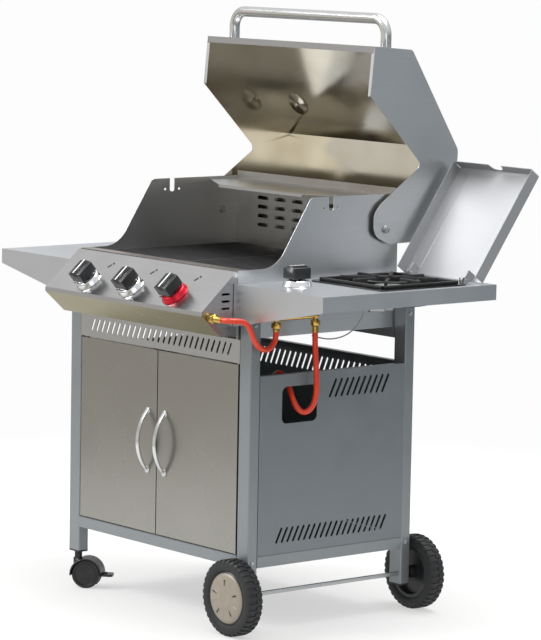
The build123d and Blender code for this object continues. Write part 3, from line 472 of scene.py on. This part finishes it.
HOOD_MOUTH = Vector((0, 0.09, 0))
hood_core = middle("hood_shell") - HOOD_MOUTH
two_faced("hood_skin", "hood_shell", "hood", steel_across, steel_hood,
          lambda spot, normal: normal.x ** 2 < 0.25 and normal.yz.dot((hood_core - spot).yz) > 0)
# Faces that look down get the darker steel: painted shade and painted reflection on the underside.
two_faced("control_panel", "fascia", "cart", steel_across, steel_underside_painted_shade,
          lambda spot, normal: normal.z < -0.3)
two_faced("hood_cheeks", "hood_sides", "hood", steel_deep, steel_hood,
          lambda spot, normal: normal.x * spot.x < -0.1)

# %% [markdown]
# ## Doors
# A door is a shallow steel pan with a bowed handle riveted on. The handle is a satin tube and the
# pan is brushed upright, so the CAD solids are taken apart: the wide one is pan, the rest is handle.

# %% Door pans and handles
WIDEST_HANDLE = 0.1

for node in ("door_left", "door_right"):
    smooth_copy(f"{node}_pan", node, node, steel_upright, "stainless",
                keep=lambda low, high: high.x - low.x > WIDEST_HANDLE)
    smooth_copy(f"{node}_handle", node, node, steel_tube, "stainless",
                keep=lambda low, high: high.x - low.x < WIDEST_HANDLE, corner=50)

# %% [markdown]
# ## Wheels
# A trolley wheel is a blow-moulded tyre with rows of lugs, on a plastic hub that a silver disc
# covers. The tread is spun from its outline with as many steps as there are lugs and gaps. Every
# other face is then raised, and the two rows are staggered so that the wheel rolls quietly.

# %% One wheel, made lying flat
LUG_STEPS, CAP_STEPS = 72, 80
TREAD_INNER, MIDDLE_GROOVE = 0.0815, 0.001
LUG_TOP, LUG_RISE = 0.0874, 1.028


def sector(spot, steps):
    """Which of the equal slices round the axis a face's middle lies in."""
    return int(round((math.atan2(spot.y, spot.x) / math.tau) * steps - 0.5))


def tyre():
    outline = [(61, -17), (65, -20.5), (73, -22), (80, -20.5), (84, -17), (85, -13), (85.4, -8),
               (85.4, -1), (85.4, 1), (85.4, 8), (85, 13), (84, 17), (80, 20.5), (73, 22), (65, 20.5),
               (61, 17), (61, -17)]
    shape = spun(outline, LUG_STEPS)
    lugs = []
    for face in list(shape.faces):
        spot = face.calc_center_median()
        if spot.xy.length < TREAD_INNER or abs(spot.z) < MIDDLE_GROOVE:
            continue
        row = 0 if spot.z < 0 else 1
        if (sector(spot, LUG_STEPS) + row) % 2 == 0:
            lugs.append(face)
    raised = bmesh.ops.extrude_face_region(shape, geom=lugs)
    for vert in (v for v in raised["geom"] if isinstance(v, bmesh.types.BMVert)):
        rise = min(LUG_TOP / vert.co.xy.length, LUG_RISE)
        vert.co.x *= rise
        vert.co.y *= rise
    bmesh.ops.delete(shape, geom=[f for f in lugs if f.is_valid], context="FACES_ONLY")
    return shape


def hub():
    outline = [(5.06, -19), (14, -19), (15, -17), (15, -5), (50, -4), (53, -16), (57, -17.2),
               (60.8, -17), (60.8, 17), (58.6, 18.5), (56.5, 18.2), (55, 16), (52, 5), (15, 5),
               (14, 15), (5.06, 15), (5.06, -19)]
    return spun(outline)


def cap():
    outline = [(0, 21), (48, 20), (54.2, 17.2), (57.8, 17.4), (56, 19.5), (50, 22.3), (45, 23),
               (29, 23.6), (25, 23.6), (23, 24.4), (14, 24.9), (12, 24.2), (6, 24), (0, 24)]
    shape = spun(outline, CAP_STEPS)
    slots, ribs = [], []
    for face in shape.faces:
        spot = face.calc_center_median()
        if spot.z < 0.0226 or not 0.028 < spot.xy.length < 0.046:
            continue
        step_in_fifth = sector(spot, CAP_STEPS) % (CAP_STEPS // 5)
        if step_in_fifth in (3, 4):
            slots.append(face)
        elif step_in_fifth in (11, 12):
            ribs.append(face)
    # The sunk slot floors take the dark ink: it stands for the black hub behind open slots and for
    # painted shade inside them.
    for group, thickness, depth, finish in ((slots, 0.0012, -0.0015, 1), (ribs, 0.001, 0.0007, 0)):
        bmesh.ops.inset_region(shape, faces=group, thickness=thickness, depth=depth,
                               use_even_offset=True)
        for face in group:
            face.material_index = finish
    return shape


# %% Two wheels on their axle
LEG_FACE, WHEEL_GAP, TYRE_HALF = 244, 7, 22

for node, side in (("wheel_front", -1), ("wheel_rear", 1)):
    centre = middle(node)
    centre.y = at(0, side * (LEG_FACE + WHEEL_GAP + TYRE_HALF), 0).y
    place = Matrix.Translation(centre) @ Matrix.Rotation(math.radians(-90 * side), 4, "X")
    finish_piece(tyre(), f"{node}_tyre", node, tyre_rubber, [node], "tyre", place, corner=34)
    finish_piece(hub(), f"{node}_hub", node, black_abs, [node], "black_plastic", place)
    finish_piece(cap(), f"{node}_cap", node, [hub_plastic, ink_and_slot_shade], [node], "plated_steel", place,
                 corner=30)

# %% [markdown]
# ## Caster wheels
# Each caster rolls on two narrow nylon discs with a rounded edge and a dished face, held on one pin.
# They are spun lying flat, stood up, and turned by the caster's own yaw, which the record's roll
# axis gives.

# %% Four caster discs
CASTER_DISC = [(0, 9), (20, 9), (22, 8), (27, 8), (29, 7.5), (31, 5.4), (34, 5.4), (34, 19.5),
               (33, 21.6), (31, 22.6), (27, 22.6), (25.5, 20.8), (12, 20.8), (10, 22), (0, 22)]

for name in ("front", "rear"):
    centre, axis = hinge_line(f"caster_{name}_roll")
    stand = axis.to_track_quat("Z", "Y").to_matrix().to_4x4()
    both = bmesh.new()
    for flip in (-1, 1):
        joined(both, spun([(r, h * flip) for r, h in CASTER_DISC], 56))
    bmesh.ops.create_cone(both, cap_ends=True, segments=24, radius1=0.004, radius2=0.004, depth=0.02)
    node = f"caster_wheels_{name}"
    finish_piece(both, f"caster_{name}_discs", node, caster_nylon, [node], "black_plastic",
                 Matrix.Translation(centre) @ stand, corner=35)

# %% [markdown]
# ## Knobs and bezels
# A control knob is a moulded ABS grip shaped like a low roof: two gentle slopes meet in a narrow
# flat that points at the setting. A light silver strip along the flat and down the front is a
# painted highlight for the shine that the flat catches. Fine ribs beside the flat give the fingers a
# hold. Behind each sits a plated bezel that hides the hole. The third burner's bezel is red. The
# grip is a box with its top drawn up to the flat and its edges rolled.

# %% A knob, its painted highlight and its bezel
def knob_frame(joint):
    spot, axis = hinge_line(joint)
    out = axis if axis.z > 0 else -axis
    side = Vector((1, 0, 0))
    up = out.cross(side).normalized()
    return Matrix.Translation(spot) @ Matrix((side, up, out)).transposed().to_4x4()


KNOB_FOOT, KNOB_SHOULDER, KNOB_RIDGE = 0.0172, 0.0418, 0.0464
KNOB_HALF, KNOB_LENGTH, FLAT_HALF = 0.021, 0.0232, 0.0036
RIB_PLACES, RIB_HALF, RIB_LENGTH = (0.0075, 0.0115, 0.0155), 0.0008, 0.0205
HIGHLIGHT_HALF, HIGHLIGHT_LENGTH = 0.0021, 0.0216


def knob():
    shape = bmesh.new()
    bar(shape, (-KNOB_HALF, -KNOB_LENGTH, KNOB_FOOT), (KNOB_HALF, KNOB_LENGTH, KNOB_RIDGE))
    long_edges = [e for e in shape.edges if abs(e.verts[0].co.x - e.verts[1].co.x) > 0.03]
    bmesh.ops.subdivide_edges(shape, edges=long_edges, cuts=2, use_grid_fill=True)
    for vert in shape.verts:
        if abs(vert.co.x) < KNOB_HALF - 0.006:
            vert.co.x = math.copysign(FLAT_HALF, vert.co.x)
        elif vert.co.z > KNOB_SHOULDER:
            vert.co.z = KNOB_SHOULDER
    sharp = [e for e in shape.edges if len(e.link_faces) == 2 and e.calc_face_angle(0) > 0.3]
    bmesh.ops.bevel(shape, geom=sharp, offset=0.0014, segments=3, profile=0.5, affect="EDGES",
                    material=-1)
    joined(shape, spun([(0, 16.6), (20, 16.6), (21, 17.4), (21, 18.8), (20, 19.6), (0, 19.6)], 48))
    slope = (KNOB_RIDGE - KNOB_SHOULDER) / (KNOB_HALF - FLAT_HALF)
    for side in (-1, 1):
        for x in RIB_PLACES:
            height = KNOB_RIDGE - (x - FLAT_HALF) * slope
            bar(shape, (side * x - RIB_HALF, -RIB_LENGTH, height - 0.001),
                (side * x + RIB_HALF, RIB_LENGTH, height + 0.0003), 0.0003)
    return shape


# A bar along the flat and one down the front: a painted highlight where the ridge shines.
def painted_ridge_highlight():
    shape = bmesh.new()
    bar(shape, (-HIGHLIGHT_HALF, -HIGHLIGHT_LENGTH, KNOB_RIDGE - 0.0004),
        (HIGHLIGHT_HALF, HIGHLIGHT_LENGTH, KNOB_RIDGE + 0.0003))
    bar(shape, (-HIGHLIGHT_HALF, KNOB_LENGTH - 0.0004, KNOB_FOOT + 0.004),
        (HIGHLIGHT_HALF, KNOB_LENGTH + 0.0003, KNOB_RIDGE - 0.002))
    return shape


def bezel():
    outline = [(8, 0.3), (33, 0.3), (33.2, 1.4), (32.2, 2.6), (29.6, 10.4), (28, 13), (25.6, 13.9),
               (23.4, 13.4), (22.2, 11.8), (21.2, 8), (8, 7), (8, 0.3)]
    return spun(outline, 72)


RED_RING = 2

for index, node in enumerate(("knob_1", "knob_2", "knob_3", "side_knob")):
    place = knob_frame(f"{node}_turn")
    finish_piece(knob(), f"{node}_grip", node, black_abs, [node], "black_plastic", place, corner=50)
    # The strip on the grip is a painted highlight.
    finish_piece(painted_ridge_highlight(), f"{node}_line", node, knob_painted_highlight, (), "chrome", place)
    ring_coat = ring_red if index == RED_RING else chrome
    finish_piece(bezel(), f"bezel_{index + 1}", "cart", ring_coat, ["bezels"], "chrome", place)
for n in (1, 2, 3):
    smooth_copy(f"stem_{n}_rod", f"valve_stem_{n}", f"stem_{n}", zinc, "plated_steel")
smooth_copy("side_stem_rod", "side_valve_stem", "side_stem", zinc, "plated_steel")

# %% [markdown]
# ## Marks on the control panel
# Each burner has a small printed sign beside its knob: a slanted stroke with a dot above, and one
# more dot below, with no words. Screen ink stands proud by next to nothing, so thin slips laid on
# the sloping sheet are enough, and they need no picture.

# %% Printed marks
MARK_SLANT = Matrix.Rotation(math.radians(52), 3, "Z")
MARK_PLACE = (0.028, 0.052, 0.00002)

for n in (1, 2, 3):
    place = knob_frame(f"knob_{n}_turn")
    ink = bmesh.new()
    bar(ink, (-0.0065, -0.003, 0), (0.0055, 0.003, 0.00018))
    bar(ink, (0.0085, -0.0036, 0), (0.0135, 0.0036, 0.00018))
    bmesh.ops.rotate(ink, verts=ink.verts, cent=(0, 0, 0), matrix=MARK_SLANT)
    bmesh.ops.translate(ink, verts=ink.verts, vec=MARK_PLACE)
    bar(ink, (-0.044, -0.015, 0.00002), (-0.037, -0.011, 0.0002))
    finish_piece(ink, f"panel_mark_{n}", "cart", ink_and_slot_shade, (), "black_plastic", place)

# %% [markdown]
# ## Cooking grates and the pan support
# The grates are cast iron: bars that taper a little downward so that they leave the mould, joined by
# two cross ribs and a frame, all coated in matt enamel. Each bar is a box with rolled edges. Bars
# run front to back; their number is given, and their pitch is read off the CAD part's box.

# %% Two grates
BARS, BAR_WIDTH, END_WIDTH = 15, 0.007, 0.009
CROSS_RIBS = (-75, 70)

for side in ("left", "right"):
    low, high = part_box(f"cooking_grate_{side}")
    grid = bmesh.new()
    pitch = (high.x - low.x - BAR_WIDTH) / (BARS - 1)
    for end in (low.y, high.y - END_WIDTH):
        bar(grid, (low.x, end, low.z), (high.x, end + END_WIDTH, high.z - 0.001), 0.0012)
    for index in range(BARS):
        x = low.x + index * pitch
        bar(grid, (x, low.y + 0.002, low.z + 0.001), (x + BAR_WIDTH, high.y - 0.002, high.z), 0.0016)
    for rib in CROSS_RIBS:
        y = at(0, rib, 0).y
        bar(grid, (low.x + 0.002, y, low.z + 0.0003), (high.x - 0.002, y + 0.007, low.z + 0.008), 0.001)
    finish_piece(grid, f"grate_{side}_bars", f"grate_{side}", cast_iron, [f"cooking_grate_{side}"],
                 "cast_iron", merge=False)

# %% [markdown]
# ## Side burner
# The side burner stands in an enamelled bowl: a cast aluminium head with a ring of flame ports, and
# a loose cap on it. Over the bowl lies a pan support, a thick rod frame with eight fingers round a
# ring. Rounding the fingers is what makes it read as cast iron instead of cut plate.

# %% Hob plate and pan support
RING_HEIGHT, FINGER_HEIGHT = 0.801, (0.7975, 0.808)
FINGER_MIDDLE, FINGER_HALF, FRAME_ROD = 0.072, 0.0034, 0.007

smooth_copy("hob_bowl", "hob_plate", "cart", black_enamel, "black_enamel")
low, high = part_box("pan_support")
centre = middle("pan_support")
support = bmesh.new()
ring = spun([(64, 0), (65.5, -2.3), (68.5, -2.3), (70, 0), (68.5, 2.3), (65.5, 2.3), (64, 0)])
bmesh.ops.translate(ring, vec=(centre.x, centre.y, RING_HEIGHT), verts=ring.verts)
joined(support, ring)
for index in range(8):
    finger = bmesh.new()
    reach = (0.066 if index % 2 == 0 else 0.078) / 2
    bar(finger, (FINGER_MIDDLE - reach, -FINGER_HALF, FINGER_HEIGHT[0]),
        (FINGER_MIDDLE + reach, FINGER_HALF, FINGER_HEIGHT[1]), 0.0016)
    bmesh.ops.rotate(finger, verts=finger.verts, cent=(0, 0, 0),
                     matrix=Matrix.Rotation(math.radians(45 * index), 3, "Z"))
    bmesh.ops.translate(finger, vec=(centre.x, centre.y, 0), verts=finger.verts)
    joined(support, finger)
for x0, x1, y0, y1 in ((low.x, high.x, low.y, low.y + FRAME_ROD),
                       (low.x, high.x, high.y - FRAME_ROD, high.y),
                       (low.x, low.x + FRAME_ROD, low.y, high.y),
                       (high.x - FRAME_ROD, high.x, low.y, high.y)):
    bar(support, (x0, y0, low.z), (x1, y1, low.z + FRAME_ROD), 0.0016)
finish_piece(support, "pan_support_iron", "pan_support", cast_iron, ["pan_support"], "cast_iron",
             merge=False)

# %% [markdown]
# ## Hose fittings and regulator
# Crimped ferrules grip the hose at each fitting, and the regulator is a die-cast pot with a domed
# lid over its diaphragm. They already have the right shape, so they only need their finishes. The
# ferrules are one CAD part, which is split between the two hoses by how far back they stand.

# %% Fittings, and the first route points turned into metres
BETWEEN_HOSES = -0.15

front_crimps = smooth_copy("hose_front_crimps", "hose_ferrules", "cart", brass, "brass",
                           keep=lambda low, high: high.y < BETWEEN_HOSES)
long_crimps = smooth_copy("hose_long_crimps", "hose_ferrules", "cart", brass, "brass",
                          keep=lambda low, high: high.y > BETWEEN_HOSES)
regulator = smooth_copy("regulator_pot", "regulator", "cart", cast_aluminium, "regulator_body")
at(*HOSE_A[0])
at(*HOSE_B[0])
at(*LEAD[0])

# %% [markdown]
# ## Thermometer
# The hood's thermometer is a stamped dial in a plated case. The dished nut that holds it shows on
# the underside of the hood and has turned the same straw colour as the sheet. The case is smoothed
# from the CAD. The dial gets a ring of plain strokes, longer at every fifth, with no figures, and a
# red needle.

# %% Thermometer case, strokes and needle
STROKES, FIRST_STROKE, STROKE_STEP = 26, -35, 10
STROKE_END, STROKE_LEVEL = 0.0255, 0.0026

needle_spot, axis = hinge_line("thermometer_needle_turn")
out = axis if axis.z > 0 else -axis
two_faced("thermometer_case", "thermometer", "hood", chrome, steel_hood,
          lambda spot, normal: (spot - needle_spot).dot(out) < -0.001, slot="chrome")
side = Vector((1, 0, 0))
dial_frame = Matrix.Translation(needle_spot) @ Matrix(
    (side, out.cross(side), out)).transposed().to_4x4()
dial = spun([(2.3, 2.1), (27.6, 2.1), (27.6, 2.5), (2.3, 2.5), (2.3, 2.1)], 64)
finish_piece(dial, "thermometer_dial", "hood", dial_white, (), "chrome", dial_frame)
strokes = bmesh.new()
for index in range(STROKES):
    turn = Matrix.Rotation(math.radians(FIRST_STROKE + index * STROKE_STEP), 4, "Z")
    length = 0.005 if index % 5 == 0 else 0.003
    place = Matrix.Translation((STROKE_END - length / 2, 0, STROKE_LEVEL))
    stretch = Matrix.Diagonal((length, 0.0007, 0.0002, 1))
    bmesh.ops.create_cube(strokes, size=1, matrix=turn @ place @ stretch)
finish_piece(strokes, "thermometer_strokes", "hood", ink_and_slot_shade, (), "black_plastic", dial_frame,
             merge=False)
smooth_copy("thermometer_pointer", "thermometer_needle", "thermo_needle", needle_red, "needle_paint")

# %% [markdown]
# ## Studio
# The grill stands on a round of pale paper that fades out at its edge into a white backdrop, so no
# horizon shows. Bare metal shows its surroundings more than itself, and a garden or a studio is never
# evenly white. So the sky that lights and is reflected is not the plain white that the camera sees
# behind the object: it is bright above, and near the ground it is warm on the user's side and cooler
# behind. That is what gives the doors a beige cast and the side panels a blue one. Two large soft
# lights shape the edges, and a weak third one opens the shadows on the right.

# %% Floor
def paper_floor(solid, gone):
    """White paper that is whole out to one radius and has faded away at another, in metres."""
    material = blank("paper_white_matt")
    place = add(material, "TexCoord")
    reach = add(material, "VectorMath", [("Vector", place.outputs["Object"])], operation="LENGTH")
    fade = add(material, "MapRange", [("Value", reach.outputs["Value"])],
               interpolation_type="SMOOTHSTEP")
    fade.inputs["From Min"].default_value, fade.inputs["From Max"].default_value = solid, gone
    fibre = add(material, "TexNoise", [("Vector", place.outputs["Object"])], Scale=60.0, Detail=3.0)
    tone = add(material, "Mix", [("Factor", fibre.outputs["Fac"])], data_type="RGBA")
    tone.inputs[6].default_value, tone.inputs[7].default_value = colour("#f4f4f3"), colour("#f8f8f7")
    paper = add(material, "BsdfDiffuse", [("Color", tone.outputs[2])])
    lifted = add(material, "Emission", Color=colour("#fbfbfa"), Strength=0.9)
    soft = add(material, "MixShader", [(1, paper.outputs[0]), (2, lifted.outputs[0])], Fac=0.6)
    clear = add(material, "BsdfTransparent")
    both = add(material, "MixShader",
               [(0, fade.outputs[0]), (1, soft.outputs[0]), (2, clear.outputs[0])])
    add(material, "OutputMaterial", [("Surface", both.outputs[0])])
    return material


FLOOR_RADIUS, WHOLE_TO, GONE_AT = 2.7, 1.5, 2.6

floor = bmesh.new()
bmesh.ops.create_circle(floor, cap_ends=True, segments=96, radius=FLOOR_RADIUS)
mesh = bpy.data.meshes.new("floor")
floor.to_mesh(mesh)
floor.free()
mesh.materials.append(paper_floor(WHOLE_TO, GONE_AT))
ground = bpy.data.objects.new("floor", mesh)
bpy.context.scene.collection.objects.link(ground)

# %% Sky
world = bpy.data.worlds.new("studio_sky")
bpy.context.scene.world = world
world.use_nodes = True
world.node_tree.nodes.clear()


class Sky:
    """Lets add() build the world's nodes too."""
    node_tree = world.node_tree


def sky_ramp(source, stops):
    ramp = add(Sky, "ValToRGB", [("Fac", source)])
    bands = ramp.color_ramp.elements
    bands[0].position, bands[0].color = stops[0][0], colour(stops[0][1])
    bands[1].position, bands[1].color = stops[-1][0], colour(stops[-1][1])
    for position, code in stops[1:-1]:
        bands.new(position).color = colour(code)
    return ramp.outputs[0]


direction = add(Sky, "TexCoord")
parts = add(Sky, "SeparateXYZ", [("Vector", direction.outputs["Generated"])])
rise = add(Sky, "MapRange", [("Value", parts.outputs["Z"])])
rise.inputs["From Min"].default_value = -1.0
WARM_SKY = [(0.0, "#8c8474"), (0.36, "#b3aa98"), (0.44, "#e6e4df"), (0.50, "#eceae6"),
            (0.58, "#cfcdc8"), (0.70, "#e6e6e5"), (0.85, "#ffffff")]
COOL_SKY = [(0.0, "#7f8284"), (0.38, "#84898c"), (0.45, "#8b9194"), (0.52, "#aeb4b8"),
            (0.66, "#e6e9eb"), (0.85, "#ffffff")]
warm = sky_ramp(rise.outputs[0], WARM_SKY)
cool = sky_ramp(rise.outputs[0], COOL_SKY)
sideways = add(Sky, "Math", [(0, parts.outputs["X"]), (1, parts.outputs["Y"])], operation="ADD")
share = add(Sky, "MapRange", [("Value", sideways.outputs[0])])
share.inputs["From Min"].default_value, share.inputs["From Max"].default_value = -1.0, 1.0
shade = add(Sky, "Mix", [("Factor", share.outputs[0])], data_type="RGBA")
world.node_tree.links.new(warm, shade.inputs[6])
world.node_tree.links.new(cool, shade.inputs[7])
glow = add(Sky, "Background", [("Color", shade.outputs[2])], Strength=0.95)
backdrop = add(Sky, "Background", Color=colour("#fdfdfd"), Strength=1.0)
seen = add(Sky, "LightPath")
pick = add(Sky, "MixShader", [(0, seen.outputs["Is Camera Ray"]), (1, glow.outputs[0]),
                              (2, backdrop.outputs[0])])
add(Sky, "OutputWorld", [("Surface", pick.outputs[0])])


# %% Lights
def soft_light(name, place, aim, size, power):
    lamp = bpy.data.lights.new(name, "AREA")
    lamp.shape, lamp.size, lamp.size_y, lamp.energy = "RECTANGLE", size[0], size[1], power
    light = bpy.data.objects.new(name, lamp)
    bpy.context.scene.collection.objects.link(light)
    light.location = place
    light.rotation_euler = (Vector(aim) - Vector(place)).to_track_quat("-Z", "Y").to_euler()
    return light


soft_light("key", (-2.2, -3.0, 3.8), (0, 0, 0.6), (2.4, 2.0), 150)
soft_light("top", (0.6, 0.6, 4.4), (0, 0, 0.4), (2.8, 2.8), 170)
soft_light("fill", (3.4, -2.4, 1.1), (0.2, 0, 0.5), (2.2, 1.8), 12)
bpy.context.scene.view_settings.view_transform = "Standard"
print("studio ready")
